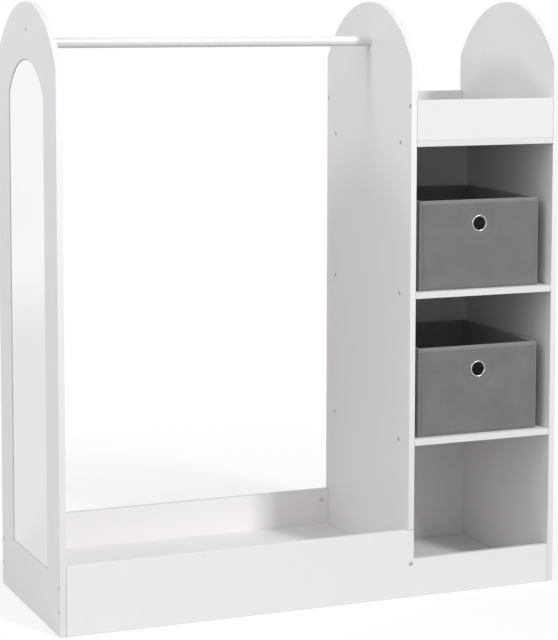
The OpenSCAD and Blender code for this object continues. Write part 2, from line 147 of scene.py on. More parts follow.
def bump(tree, height, depth, normal=None):
    inputs = {"Height": height, "Distance": depth, "Strength": 1.0}
    if normal:
        inputs["Normal"] = normal
    return add(tree, "ShaderNodeBump", inputs).outputs["Normal"]


def new_material(name, **constants):
    """A node material; constants are set on the shader's own sockets."""
    material = bpy.data.materials.new(name)
    material.use_nodes = True
    shader = material.node_tree.nodes["Principled BSDF"]
    for socket, value in constants.items():
        shader.inputs[socket.replace("_", " ")].default_value = value
    return material, material.node_tree, shader


def connect(tree, shader, **sockets):
    for name, value in sockets.items():
        tree.links.new(value, shader.inputs[name.replace("_", " ")])


# ---- materials ----

DUST_FINENESS = 14                       # a coat's dust is this much finer than its patches
GLOSS_FINENESS = 5                       # and so are the changes of its gloss
WAVE_FINENESS = 3                        # and its slow waves
WAVE_DEPTH = 0.12 * MM
DUST_MOST = 0.35
DUST_TONE = 0.985


def coated(name, light, dark, patch, rough, pebble, pebble_depth, stretch=(1, 1, 1), coat=0.0):
    """A smooth coated surface: faint patches of tone, uneven gloss and fine pebbling."""
    material, tree, shader = new_material(name, Coat_Weight=coat, Coat_Roughness=0.25)
    where = place_coordinates(tree, stretch)
    tone = between(tree, grain(tree, where, patch, detail=4.0))
    dust = between(tree, grain(tree, where, patch * DUST_FINENESS), high=DUST_MOST)
    base = blend_colours(tree, tone, light, dark)
    colour = blend_colours(tree, dust, base, scaled(dark, DUST_TONE))
    roughness = between(tree, grain(tree, where, patch * GLOSS_FINENESS), *rough)
    pebbles = bump(tree, grain(tree, where, pebble, detail=2.0), pebble_depth)
    surface = bump(tree, grain(tree, where, patch * WAVE_FINENESS, detail=1.0), WAVE_DEPTH, pebbles)
    connect(tree, shader, Base_Color=colour, Roughness=roughness, Normal=surface)
    return material


SILVER_LIGHT = (0.92, 0.9, 0.92)
SILVER_DARK = (0.905, 0.885, 0.905)
SILVER_HAZE = (0.015, 0.03)
SILVER_WAVE = 0.1 * MM


def mirror_material():
    """Silvered glass with a barely uneven surface."""
    material, tree, shader = new_material("mirror_silver", Metallic=1.0)
    where = place_coordinates(tree)
    tone = between(tree, grain(tree, where, scale=5.0))
    colour = blend_colours(tree, tone, SILVER_LIGHT, SILVER_DARK)
    haze = between(tree, grain(tree, where, scale=30.0), *SILVER_HAZE)
    waves = bump(tree, grain(tree, where, scale=2.5, detail=1.0), SILVER_WAVE)
    connect(tree, shader, Base_Color=colour, Roughness=haze, Normal=waves)
    return material


GLASS_DARK = (0.42, 0.47, 0.46)
GLASS_LIGHT = (0.56, 0.6, 0.59)
GLASS_ROUGH = (0.15, 0.3)
GLASS_STREAKS = (1, 1, 12)
GLASS_GRIND = 0.03 * MM                  # depth of the grinding marks


def glass_edge_material():
    """The ground and polished edge of the mirror, greenish gray."""
    material, tree, shader = new_material("mirror_edge", Coat_Weight=0.4, Coat_Roughness=0.1)
    where = place_coordinates(tree, GLASS_STREAKS)
    tone = between(tree, grain(tree, where, scale=90.0))
    colour = blend_colours(tree, tone, GLASS_DARK, GLASS_LIGHT)
    roughness = between(tree, grain(tree, where, scale=200.0), *GLASS_ROUGH)
    marks = bump(tree, grain(tree, where, scale=700.0), GLASS_GRIND)
    connect(tree, shader, Base_Color=colour, Roughness=roughness, Normal=marks)
    return material


SCRATCH_STRETCH = (1, 1, 0.08)
SCRATCH_DEPTH = 0.02 * MM


def plated(name, light, dark, rough, scratch):
    """Plated metal with fine scratches, and duller where plating is uneven."""
    material, tree, shader = new_material(name, Metallic=1.0)
    where = place_coordinates(tree)
    scratches = grain(tree, place_coordinates(tree, SCRATCH_STRETCH), scratch)
    colour = blend_colours(tree, between(tree, grain(tree, where, scale=260.0)), light, dark)
    roughness = between(tree, grain(tree, where, scale=420.0), *rough)
    surface = bump(tree, scratches, SCRATCH_DEPTH)
    connect(tree, shader, Base_Color=colour, Roughness=roughness, Normal=surface)
    return material


BEECH_LIGHT = (0.62, 0.43, 0.25)
BEECH_DARK = (0.48, 0.31, 0.17)
BEECH_FLECK = (0.3, 0.18, 0.1)
BEECH_ROUGH = (0.55, 0.75)
RING_STRETCH = (0.12, 1, 1)
FLECK_STRETCH = (0.3, 1, 1)
RING_DEPTH = 0.1 * MM


def wood_material():
    """Turned beech: rings and short dark flecks along the grain."""
    material, tree, shader = new_material("beech")
    rings = grain(tree, place_coordinates(tree, RING_STRETCH), scale=420.0, detail=5.0)
    flecks = between(tree, grain(tree, place_coordinates(tree, FLECK_STRETCH), scale=1500.0), high=0.5)
    tone = blend_colours(tree, between(tree, rings), BEECH_LIGHT, BEECH_DARK)
    colour = blend_colours(tree, flecks, tone, BEECH_FLECK)
    roughness = between(tree, rings, *BEECH_ROUGH)
    connect(tree, shader, Base_Color=colour, Roughness=roughness, Normal=bump(tree, rings, RING_DEPTH))
    return material


FOAM_LIGHT = (0.78, 0.78, 0.75)
FOAM_DARK = (0.6, 0.6, 0.58)
FOAM_CELLS = 1600.0                      # cells per metre
FOAM_DEPTH = 0.2 * MM


def foam_material():
    """Closed-cell foam tape."""
    material, tree, shader = new_material("foam", Roughness=0.9)
    where = place_coordinates(tree)
    cells = add(tree, "ShaderNodeTexVoronoi", {"Vector": where, "Scale": FOAM_CELLS}).outputs["Distance"]
    colour = blend_colours(tree, cells, FOAM_LIGHT, FOAM_DARK)
    connect(tree, shader, Base_Color=colour, Normal=bump(tree, cells, FOAM_DEPTH))
    return material


BOARD_BROWN = (0.4, 0.31, 0.22)
BOARD_BROWN_DARK = (0.3, 0.23, 0.16)
BOARD_GRAY = (0.45, 0.37, 0.28)
FIBRE_STRETCH = (1, 1, 0.25)
FIBRE_DEPTH = 0.1 * MM


def cardboard_material():
    """Gray-brown pressed board with fibres."""
    material, tree, shader = new_material("pressed_board", Roughness=0.9)
    where = place_coordinates(tree)
    fibres = grain(tree, place_coordinates(tree, FIBRE_STRETCH), scale=900.0, detail=5.0)
    tone = blend_colours(tree, between(tree, fibres), BOARD_BROWN, BOARD_BROWN_DARK)
    patches = between(tree, grain(tree, where, scale=60.0), high=0.6)
    colour = blend_colours(tree, patches, tone, BOARD_GRAY)
    connect(tree, shader, Base_Color=colour, Normal=bump(tree, fibres, FIBRE_DEPTH))
    return material


BOND_SIZE = 1.7 * MM                     # spacing of the bond points pressed into the felt
BOND_FROM, BOND_TO = 0.12, 0.4           # a bond point's edge, in shares of that spacing
BOND_DEPTH = 0.18 * MM
BOND_TONE = 0.8
FLUFF_DEPTH = 0.12 * MM
FLUFF_TONE = 0.72
FELT_ROUGH = (0.82, 0.98)


def felt(name, light, dark):
    """Non-woven fabric: matted fibres with a grid of small pressed bond points."""
    material, tree, shader = new_material(name, Sheen_Weight=0.25, Sheen_Roughness=0.5)
    where = place_coordinates(tree)
    grid = {"Vector": where, "Scale": 1 / BOND_SIZE, "Randomness": 0.25}
    bonds = add(tree, "ShaderNodeTexVoronoi", grid).outputs["Distance"]
    pressed = remap(tree, bonds, BOND_FROM, BOND_TO)
    fibres = grain(tree, where, scale=2600.0, detail=4.0, roughness=0.6)
    clouds = between(tree, grain(tree, where, scale=26.0, detail=4.0))
    tone = blend_colours(tree, clouds, light, dark)
    fluffy = blend_colours(tree, between(tree, fibres, high=0.5), tone, scaled(dark, FLUFF_TONE))
    colour = blend_colours(tree, pressed, scaled(dark, BOND_TONE), fluffy)
    surface = bump(tree, pressed, BOND_DEPTH, bump(tree, fibres, FLUFF_DEPTH))
    roughness = between(tree, fibres, *FELT_ROUGH)
    connect(tree, shader, Base_Color=colour, Roughness=roughness, Normal=surface)
    return material


THREAD_TWISTS = 900.0                    # wave scale of the thread's twist
TWIST_DEPTH = 0.08 * MM


def thread_material(name, light, dark):
    """Twisted sewing thread."""
    material, tree, shader = new_material(name, Roughness=0.6, Sheen_Weight=0.4)
    waves = {"Vector": place_coordinates(tree), "Scale": THREAD_TWISTS, "Distortion": 1.0}
    twist = add(tree, "ShaderNodeTexWave", waves, bands_direction="DIAGONAL").outputs["Fac"]
    colour = blend_colours(tree, twist, dark, light)
    connect(tree, shader, Base_Color=colour, Normal=bump(tree, twist, TWIST_DEPTH))
    return material


WHITE = (0.85, 0.832, 0.85)              # laminate, as it shows in even light
WHITE_SHADE = (0.832, 0.814, 0.832)
EDGE_WHITE = (0.79, 0.773, 0.79)         # edge bands and backs are a little grayer
EDGE_SHADE = (0.775, 0.758, 0.775)
BACK_SHADE = (0.765, 0.748, 0.765)
ROD_WHITE = (0.79, 0.775, 0.775)
ROD_SHADE = (0.765, 0.75, 0.748)
PLASTIC_WHITE = (0.8, 0.79, 0.79)
PLASTIC_SHADE = (0.77, 0.76, 0.76)
BOLT_LIGHT, BOLT_DARK = (0.62, 0.61, 0.62), (0.5, 0.49, 0.5)
CAM_LIGHT, CAM_DARK = (0.8, 0.79, 0.8), (0.68, 0.67, 0.68)
NICKEL_LIGHT, NICKEL_DARK = (0.55, 0.54, 0.55), (0.45, 0.44, 0.45)
BIN_GRAY = (0.211, 0.2, 0.211)
BIN_GRAY_DARK = (0.18, 0.17, 0.18)
LINING_TONE = 1.15                       # the lining is this much paler than the bins' walls
WELT_HIGHLIGHT_TONE, WELT_HIGHLIGHT_DARK_TONE = 1.32, 1.3    # the welts and hems are this much paler too, a painted highlight along the rim and on the welts
THREAD_LIGHT, THREAD_DARK = (0.3, 0.29, 0.3), (0.2, 0.19, 0.2)

LAMINATE = coated(
    "white_laminate", WHITE, WHITE_SHADE,
    patch=3.0, rough=(0.36, 0.46), pebble=1100.0, pebble_depth=0.012 * MM,
)
EDGE_BAND = coated(
    "white_edge_band", EDGE_WHITE, EDGE_SHADE,
    patch=7.0, rough=(0.42, 0.52), pebble=700.0, pebble_depth=0.01 * MM, stretch=(1, 1, 0.2),
)
HARDBOARD = coated(
    "painted_hardboard", EDGE_WHITE, BACK_SHADE,
    patch=5.0, rough=(0.5, 0.62), pebble=800.0, pebble_depth=0.04 * MM,
)
ROD_PAINT = coated(
    "rod_paint", ROD_WHITE, ROD_SHADE,
    patch=16.0, rough=(0.22, 0.32), pebble=500.0, pebble_depth=0.02 * MM, stretch=(0.15, 1, 1), coat=0.3,
)
SOCKET_PLASTIC = coated(
    "white_plastic", PLASTIC_WHITE, PLASTIC_SHADE,
    patch=20.0, rough=(0.35, 0.5), pebble=1800.0, pebble_depth=0.03 * MM,
)
SILVER = mirror_material()
GLASS_EDGE = glass_edge_material()
BOLT_PLATING = plated("zinc_plating", BOLT_LIGHT, BOLT_DARK, rough=(0.35, 0.5), scratch=1400.0)
CAM_METAL = plated("die_cast_zinc", CAM_LIGHT, CAM_DARK, rough=(0.5, 0.65), scratch=900.0)
NICKEL = plated("nickel_plating", NICKEL_LIGHT, NICKEL_DARK, rough=(0.16, 0.28), scratch=1800.0)
FELT = felt("gray_felt", BIN_GRAY, BIN_GRAY_DARK)
LINING_FELT = felt("lining_felt", scaled(BIN_GRAY, LINING_TONE), scaled(BIN_GRAY_DARK, LINING_TONE))
# paler felt for the welts and the hem, which paints their highlight
WELT_HIGHLIGHT_FELT = felt("welt_felt", scaled(BIN_GRAY, WELT_HIGHLIGHT_TONE), scaled(BIN_GRAY_DARK, WELT_HIGHLIGHT_DARK_TONE))
THREAD = thread_material("gray_thread", THREAD_LIGHT, THREAD_DARK)

SLOT_MATERIALS = {
    "panel_white": LAMINATE, "board_white": LAMINATE, "hardboard_white": HARDBOARD,
    "mirror": SILVER, "foam_tape": foam_material(), "rod_white": ROD_PAINT,
    "socket_plastic": SOCKET_PLASTIC, "bolt_steel": BOLT_PLATING, "cam_zinc": CAM_METAL,
    "dowel_wood": wood_material(), "bin_fabric": FELT, "bin_lining": LINING_FELT,
    "stiff_board": cardboard_material(), "grommet_metal": NICKEL,
}


# ---- meshes and pieces ----

SHARP = math.radians(32)                 # edges sharper than this stay crisp


def mesh_of(shape, name):
    """Turns a bmesh into a mesh and frees it."""
    mesh = bpy.data.meshes.new(name)
    shape.to_mesh(mesh)
    shape.free()
    return mesh


def bridge(shape, rings, high_cap=True):
    """Skins rings of points with equal counts, closed at the first ring and, with a cap, the last."""
    count = len(rings[0])
    for first, second in zip(rings, rings[1:]):
        for i in range(count):
            j = (i + 1) % count
            shape.faces.new((first[i], first[j], second[j], second[i]))
    shape.faces.new(rings[0][::-1])
    if high_cap:
        shape.faces.new(rings[-1])


def smooth_all(shape):
    for face in shape.faces:
        face.smooth = True


def smooth_by_angle(shape):
    smooth_all(shape)
    for edge in shape.edges:
        edge.smooth = len(edge.link_faces) == 2 and edge.calc_face_angle(0) < SHARP


def new_piece(name, mesh, node, materials):
    """A piece that rides with a node's body and takes the given materials."""
    piece = new_object(name, mesh)
    for material in materials:
        mesh.materials.append(material)
    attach(piece, BODY_OF[node])
    return piece


# ---- boards and fittings, made from the frame's own solids ----

ARC_CUTS = 4                             # extra points along each arc segment
SAME_PLACE = 0.05 * MM                   # points this close to a line or arc lie on it
WELD = 0.002 * MM                        # points this close are one point
FLAT = math.radians(0.4)                 # faces that meet at less than this are one face
BROAD = 0.7                              # a broad face's normal has this much of the thin axis
EASE_STEPS = 2
BOARD_EASE = 0.7 * MM
REAR_BOARD_EASE = 0.25 * MM              # small enough for the walls between its bores
BACK_EASE = 0.3 * MM
MIRROR_ARRIS = 1.2 * MM
HEAD_EASE = 0.5 * MM
CAM_EASE = 0.15 * MM
SOCKET_EASE = 0.4 * MM
JOINT_GAP = 0.4 * MM                     # between a board's end and the panel it meets
NOTCH_NEAR = 1.0 * MM                    # the notch's points are this close to the front board's top
RECESS_GAP = 0.2 * MM                    # from the mirror's edge to the edge of its recess


def refine_arc(shape, half_width, top):
    """Puts more points on an arch that spans y from -half_width to half_width under z = top."""
    sides = [v.co.z for v in shape.verts if abs(abs(v.co.y) - half_width) < SAME_PLACE and v.co.z < top]
    rise = top - max(sides)
    radius = (half_width ** 2 + rise ** 2) / (2 * rise)
    centre_z = top - radius

    def on_arc(v):
        reach = math.hypot(v.co.y, v.co.z - centre_z)
        return abs(reach - radius) < SAME_PLACE and v.co.z > top - rise - SAME_PLACE

    arc_edges = [
        e for e in shape.edges
        if all(on_arc(v) for v in e.verts) and abs(e.verts[0].co.y - e.verts[1].co.y) > SAME_PLACE
    ]
    made = bmesh.ops.subdivide_edges(shape, edges=arc_edges, cuts=ARC_CUTS)
    for item in made["geom_inner"]:
        if isinstance(item, bmesh.types.BMVert):
            away = Vector((item.co.y, item.co.z - centre_z)).normalized() * radius
            item.co.y = away.x
            item.co.z = away.y + centre_z


def solid_copy(node):
    """A node's mesh with its flat faces whole and its split points joined."""
    shape = bmesh.new()
    shape.from_mesh(NODES[node].data)
    bmesh.ops.remove_doubles(shape, verts=shape.verts, dist=WELD)
    bmesh.ops.dissolve_limit(shape, angle_limit=FLAT, verts=shape.verts, edges=shape.edges)
    return shape


def finish_copy(shape, node, name, materials, ease):
    """Makes the piece that replaces a node; its eased edges take the last material."""
    smooth_by_angle(shape)
    piece = new_piece(name, mesh_of(shape, name), node, materials)
    bevel = piece.modifiers.new("eased_edges", "BEVEL")
    bevel.width = ease
    bevel.segments = EASE_STEPS
    bevel.limit_method = "ANGLE"
    bevel.angle_limit = SHARP
    bevel.use_clamp_overlap = False
    bevel.loop_slide = False
    bevel.harden_normals = True
    bevel.material = len(materials) - 1
    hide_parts(node)


def thin_axis(node):
    """The axis across a board: 0, 1 or 2."""
    low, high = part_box(node)
    return min(range(3), key=lambda axis: high[axis] - low[axis])


def pull_in_ends(shape, gap):
    """Leaves a hairline joint at both ends of a board that runs along X."""
    reach = [v.co.x for v in shape.verts]
    for end, step in ((min(reach), gap), (max(reach), -gap)):
        for v in shape.verts:
            if abs(v.co.x - end) < SAME_PLACE:
                v.co.x += step


def lift_notch(shape, gap):
    """Leaves a hairline joint where a panel's notch stands on the front board."""
    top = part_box("front_board")[1]
    for v in shape.verts:
        if v.co.y < top.y + NOTCH_NEAR and abs(v.co.z - top.z) < NOTCH_NEAR:
            v.co.z += gap


def finish_board(node, face, edge, ease, arcs=()):
    """Makes a board with eased edges: one finish on its broad faces, another round its edges."""
    shape = solid_copy(node)
    if SLOT_OF[node] == "board_white":
        pull_in_ends(shape, JOINT_GAP)
    elif node == "middle_panel":
        lift_notch(shape, JOINT_GAP)
    for half_width, top in arcs:
        refine_arc(shape, half_width, top)
    axis = thin_axis(node)
    shape.normal_update()
    for f in shape.faces:
        f.material_index = 0 if abs(f.normal[axis]) > BROAD else 1
    finish_copy(shape, node, node + "_finished", (face, edge), ease)


def finish_fitting(node, ease):
    material = SLOT_MATERIALS[SLOT_OF[node]]
    finish_copy(solid_copy(node), node, node + "_finished", (material,), ease)


def outer_arc(node):
    low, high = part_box(node)
    return (high.y - low.y) / 2, high.z


def make_boards():
    glass_half, glass_top = outer_arc("mirror_glass")
    recess = (glass_half + RECESS_GAP, glass_top + RECESS_GAP)
    for node, slot in SLOT_OF.items():
        if slot == "panel_white":
            arcs = [outer_arc(node)] + ([recess] if node == "left_panel" else [])
            finish_board(node, LAMINATE, EDGE_BAND, BOARD_EASE, arcs)
        elif slot == "board_white":
            ease = REAR_BOARD_EASE if node == "shoe_rear_board" else BOARD_EASE
            finish_board(node, LAMINATE, EDGE_BAND, ease)
        elif slot == "hardboard_white":
            finish_board(node, HARDBOARD, HARDBOARD, BACK_EASE)
    finish_board("mirror_glass", SILVER, GLASS_EDGE, MIRROR_ARRIS, [(glass_half, glass_top)])


def make_fittings():
    for node, slot in SLOT_OF.items():
        if slot in ("bolt_steel", "cam_zinc") and node != "cam_pins":
            finish_fitting(node, CAM_EASE if slot == "cam_zinc" else HEAD_EASE)
    finish_fitting("rod_socket", SOCKET_EASE)


# ---- rod ----

ROD_SIDES = 64
ROD_STEPS = 24                           # stretches between rings along the rod
ROD_CHAMFER = 1.0 * MM


def turn_piece(name, node, profile, start, sides, material):
    """Makes a piece turned about an axis along +X from start; profile is (distance, radius)."""
    shape = bmesh.new()
    rings = []
    for along, radius in profile:
        ring = [
            shape.verts.new((
                start.x + along,
                start.y + radius * math.cos(2 * math.pi * i / sides),
                start.z + radius * math.sin(2 * math.pi * i / sides),
            ))
            for i in range(sides)
        ]
        rings.append(ring)
    bridge(shape, rings)
    bmesh.ops.recalc_face_normals(shape, faces=shape.faces)
    smooth_by_angle(shape)
    piece = new_piece(name, mesh_of(shape, name), node, (material,))
    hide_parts(node)


def make_rod():
    """The rod's ends have a small chamfer, and its long stretch has a ring every few centimetres."""
    low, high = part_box("hanging_rod")
    radius = (high.z - low.z) / 2
    length = high.x - low.x
    straight = length - 2 * ROD_CHAMFER
    middle = [(ROD_CHAMFER + straight * i / ROD_STEPS, radius) for i in range(ROD_STEPS + 1)]
    profile = [(0, radius - ROD_CHAMFER), *middle, (length, radius - ROD_CHAMFER)]
    start = Vector((low.x, (low.y + high.y) / 2, (low.z + high.z) / 2))
    turn_piece("hanging_rod_painted", "hanging_rod", profile, start, ROD_SIDES, ROD_PAINT)


# ---- fabric of the bins ----

CELL = 6.0 * MM                          # spacing of the fabric's points
NEAR_CORNER = tuple(d * MM for d in (1.0, 2.2, 3.6, 5.2, 7.0, 9.4))      # closer by a side's end
CORNER = 4.0 * MM                        # radius of the bins' upright corners
CORNER_STEPS = 6
LEAST_CORNER = 0.3 * MM                  # what is left of that radius on the inner layers
CLOTH = 0.8 * MM                         # thickness of the fabric
WALL = 4.0 * MM                          # cover, stiff board and lining together
HEM_DROP = 9.0 * MM                      # height of the folded hem
HEM_PROUD = 0.5 * MM
HEM_LOOSE = 0.8                          # how loose the hem is where the walls are 1
HEM_IN = 4.9 * MM                        # how far in the hem's inner face is
LINING_DROP = 2.5 * MM                   # from the rim down to the lining's edge, under the hem
LINING_LOOSE = 0.6
BASE_CLEAR = 1.2 * MM                    # the covered bottom board is this much smaller all round
FOLD = 0.9 * MM                          # the fabric rises this much out of the groove by a welt
FOLD_FROM, FOLD_TO = 0.6 * MM, 3.4 * MM
PUFF = 0.7 * MM                          # and this much more, slowly, over the next centimetres
PUFF_FROM, PUFF_TO = 3.0 * MM, 32.0 * MM
BOW = 0.3 * MM                           # how far a wall bows out at its middle
RIPPLE = 0.4 * MM                        # height of the soft ripples in the fabric
BROAD_RIPPLES, FINE_RIPPLES = 22.0, 75.0     # per metre
FINE_SHARE = 0.3                         # the fine ripples' height, in shares of the broad ones'
FINE_SHIFT = Vector((5, 5, 5))
GROMMET_DROP = 47.0 * MM                 # from the rim down to the grommet's centre
HOLE_RADIUS = 14.2 * MM
HOLE_SIDES = 48
HOLE_CUT = 6 * WALL                      # length of the tool that cuts it
FLAT_RADIUS = 19.0 * MM                  # the fabric is pressed flat this far from the grommet
CALM_RADIUS = 50.0 * MM                  # and loose again from here
FACING_FRONT = -0.9                      # the front wall's points face -Y at least this squarely
COVER_SEED = {"upper_bin": 0.0, "lower_bin": 3.1}
LINING_SEED = {"upper_bin": 7.7, "lower_bin": 11.9}


def ease_between(value, low, high):
    share = min(1.0, max(0.0, (value - low) / (high - low)))
    return share * share * (3 - 2 * share)


def unit_noise(point):
    return 0.5 + 0.5 * noise.noise(point)


def side_distances(length):
    """Distances along a straight side from its start, closer together near both ends."""
    span = length - 2 * NEAR_CORNER[-1]
    count = round(span / CELL)
    middle = [NEAR_CORNER[-1] + span * i / count for i in range(1, count + 1)]
    return [*NEAR_CORNER, *middle, *(length - d for d in reversed(NEAR_CORNER[:-1]))]


def stations(half_x, half_y):
    """Places round a rounded rectangle, anticlockwise from above.

    Each is (side_x, side_y, nx, ny, share, off): where it is on the straight-sided rectangle
    inside the corners from -1 to 1, its outward direction, where it is along its side from -1
    to 1, and how far it is from the side's end."""
    places = []
    # each corner's side of the middle in x and y, and the angle it starts at
    corners = ((-1, -1, 180), (1, -1, 270), (1, 1, 0), (-1, 1, 90))
    for number, (side_x, side_y, start) in enumerate(corners):
        for i in range(CORNER_STEPS + 1):
            angle = math.radians(start + 90 * i / CORNER_STEPS)
            places.append((side_x, side_y, math.cos(angle), math.sin(angle), 1.0, 0.0))
        nx, ny = places[-1][2:4]
        next_x, next_y, _ = corners[(number + 1) % 4]
        length = 2 * (half_x if side_x != next_x else half_y) - 2 * CORNER
        for distance in side_distances(length):
            share = distance / length
            place_x = side_x + (next_x - side_x) * share
            place_y = side_y + (next_y - side_y) * share
            places.append((place_x, place_y, nx, ny, 2 * share - 1, min(distance, length - distance)))
    return places


def looseness(point, share, off, height, grommet, is_front):
    """How far the fabric stands off its stiff board at a point, in metres."""
    open_side = 1 - share * share
    puff = FOLD * ease_between(off, FOLD_FROM, FOLD_TO) + PUFF * ease_between(off, PUFF_FROM, PUFF_TO)
    swell = BOW * open_side * math.sin(math.pi * min(1.0, max(0.0, height)))
    broad = unit_noise(point * BROAD_RIPPLES)
    fine = unit_noise(point * FINE_RIPPLES + FINE_SHIFT)
    push = puff + swell + RIPPLE * (broad + FINE_SHARE * fine) * math.sqrt(max(0.0, open_side))
    if is_front:
        push *= ease_between((point - grommet).length, FLAT_RADIUS, CALM_RADIUS)
    return push


class Bin:
    """One bin's places: x and y from its middle, heights from its underside."""

    def __init__(self, name):
        self.name = name
        low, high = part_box(name + "_cover")
        self.middle = (low + high) / 2
        self.base = low.z
        self.half_x = (high.x - low.x) / 2
        self.half_y = (high.y - low.y) / 2
        self.tall = high.z - low.z
        self.grommet = Vector((self.middle.x, low.y, high.z - GROMMET_DROP))

    def skin_rows(self, profile, outward, seed):
        """Rows of points for a profile of (inset, height, how loose from 0 to 1).

        The fabric stands off outwards for 1 and inwards for -1; the seed gives a layer its own
        ripples."""
        shift = Vector((seed, 0.3 * seed, 0.7 * seed))
        grommet = self.grommet + shift
        rows = []
        for inset, height, loose in profile:
            corner = max(LEAST_CORNER, CORNER - inset)
            reach_x, reach_y = self.half_x - inset - corner, self.half_y - inset - corner
            row = []
            for side_x, side_y, nx, ny, share, off in stations(self.half_x, self.half_y):
                x, y = side_x * reach_x + corner * nx, side_y * reach_y + corner * ny
                point = Vector((self.middle.x + x, self.middle.y + y, self.base + height))
                if loose:
                    is_front = ny < FACING_FRONT
                    push = looseness(point + shift, share, off, height / self.tall, grommet, is_front)
                    point += Vector((nx, ny, 0)) * outward * loose * push
                row.append(point)
            rows.append(row)
        return rows


def lofted(name, rows, high_cap):
    """A smooth skin through rows of points, closed at the first row and, with a cap, at the last."""
    shape = bmesh.new()
    rings = [[shape.verts.new(point) for point in row] for row in rows]
    bridge(shape, rings, high_cap)
    smooth_all(shape)
    return mesh_of(shape, name)


def wall_heights(low, high):
    count = round((high - low) / CELL)
    return [low + (high - low) * i / count for i in range(count + 1)]


def apply_modifiers(piece):
    """Turns the piece's modifiers into its mesh."""
    graph = bpy.context.evaluated_depsgraph_get()
    made = bpy.data.meshes.new_from_object(piece.evaluated_get(graph))
    old = piece.data
    piece.modifiers.clear()
    piece.data = made
    made.name = piece.name
    bpy.data.meshes.remove(old)


def thicken(piece):
    """Gives a fabric skin its thickness, inwards."""
    cloth = piece.modifiers.new("cloth", "SOLIDIFY")
    cloth.thickness = CLOTH
    cloth.offset = -1
    cloth.use_even_offset = True


def cut_grommet_hole(piece, box):
    """Cuts the round hole through the front wall's fabric."""
    shape = bmesh.new()
    turn = Matrix.Rotation(math.pi / 2, 4, "X")
    bmesh.ops.create_cone(
        shape, cap_ends=True, segments=HOLE_SIDES, radius1=HOLE_RADIUS, radius2=HOLE_RADIUS,
        depth=HOLE_CUT, matrix=Matrix.Translation(box.grommet) @ turn,
    )
    cutter_mesh = mesh_of(shape, "cutter")
    cutter = new_object("cutter", cutter_mesh)
    cut = piece.modifiers.new("grommet_hole", "BOOLEAN")
    cut.object = cutter
    cut.operation = "DIFFERENCE"
    cut.solver = "EXACT"
    apply_modifiers(piece)
    bpy.data.objects.remove(cutter)
    bpy.data.meshes.remove(cutter_mesh)


def make_cover(box):
    """The outer fabric: bottom, walls, hem band and the fold over the rim."""
    top = box.tall
    hem_low = top - HEM_DROP
    bottom = [
        (9 * MM, 0.0, 0), (2.4 * MM, 0.05 * MM, 0), (0.8 * MM, 0.6 * MM, 0), (0.1 * MM, 2.2 * MM, 0.1),
    ]
    walls = [(0.0, z, 1.0) for z in wall_heights(6 * MM, hem_low - 4 * MM)]
    hem_outside = [
        (0.0, hem_low - 0.5 * MM, 0.85), (-0.1 * MM, hem_low, HEM_LOOSE),
        (-HEM_PROUD, hem_low + 0.35 * MM, HEM_LOOSE), (-HEM_PROUD, hem_low + 2.5 * MM, HEM_LOOSE),
        (-HEM_PROUD, top - 4 * MM, 0.75), (-HEM_PROUD, top - 1.9 * MM, 0.6),
    ]
    rim = [
        (-0.3 * MM, top - 0.9 * MM, 0.4), (0.4 * MM, top - 0.25 * MM, 0.2), (1.3 * MM, top, 0),
        (3.1 * MM, top, 0), (4.0 * MM, top - 0.25 * MM, 0), (4.7 * MM, top - 0.9 * MM, 0),
    ]
    hem_inside = [
        (HEM_IN, top - 1.9 * MM, 0), (HEM_IN, hem_low + 2 * MM, 0),
        (HEM_IN - 0.3 * MM, hem_low + 0.4 * MM, 0),
    ]
    profile = [*bottom, *walls, *hem_outside, *rim, *hem_inside]
    rows = box.skin_rows(profile, 1, COVER_SEED[box.name])
    mesh = lofted(box.name + "_cover_sewn", rows, high_cap=False)
    # the hem band and the fold over the rim take the paler felt, a painted highlight
    for face in mesh.polygons:
        face.material_index = int(face.center.z > box.base + hem_low)
    piece = new_piece(box.name + "_cover_sewn", mesh, box.name + "_cover", (FELT, WELT_HIGHLIGHT_FELT))
    thicken(piece)
    cut_grommet_hole(piece, box)
    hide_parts(box.name + "_cover")


def make_lining(box):
    """The inner fabric: walls that tuck under the hem, and the bottom."""
    top = box.tall - LINING_DROP
    bottom = [
        (9 * MM, 1.75 * MM, 0), (5.6 * MM, 1.85 * MM, 0), (4.3 * MM, 2.6 * MM, 0), (WALL, 4 * MM, 0.1),
    ]
    walls = [(WALL, z, LINING_LOOSE) for z in wall_heights(7 * MM, top - HEM_DROP)]
    profile = [*bottom, *walls, (WALL, top - 4 * MM, 0.1), (WALL, top, 0)]
    rows = box.skin_rows(profile, -1, LINING_SEED[box.name])
    mesh = lofted(box.name + "_lining_sewn", rows, high_cap=False)
    piece = new_piece(box.name + "_lining_sewn", mesh, box.name + "_lining", (LINING_FELT,))
    thicken(piece)
    cut_grommet_hole(piece, box)
    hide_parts(box.name + "_lining")


def make_base_board(box):
    """The loose fabric-covered board on the bottom, with soft edges."""
    low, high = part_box(box.name + "_base_board")
    base = low.z - box.base
    thick = high.z - low.z
    top = base + thick
    inset = low.x - (box.middle.x - box.half_x) + BASE_CLEAR
    profile = [
        (inset + 3 * MM, base, 0), (inset + 0.8 * MM, base + 0.25 * MM, 0), (inset, base + 0.45 * thick, 0),
        (inset + 0.5 * MM, base + 0.85 * thick, 0), (inset + 2 * MM, top, 0),
        (inset + 9 * MM, top + 0.25 * MM, 0), (inset + 20 * MM, top + 0.3 * MM, 0),
    ]
    rows = box.skin_rows(profile, 1, 0.0)
    mesh = lofted(box.name + "_base_board_covered", rows, high_cap=True)
    piece = new_piece(box.name + "_base_board_covered", mesh, box.name + "_base_board", (LINING_FELT,))
    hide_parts(box.name + "_base_board")


# ---- welts and stitches of the bins ----

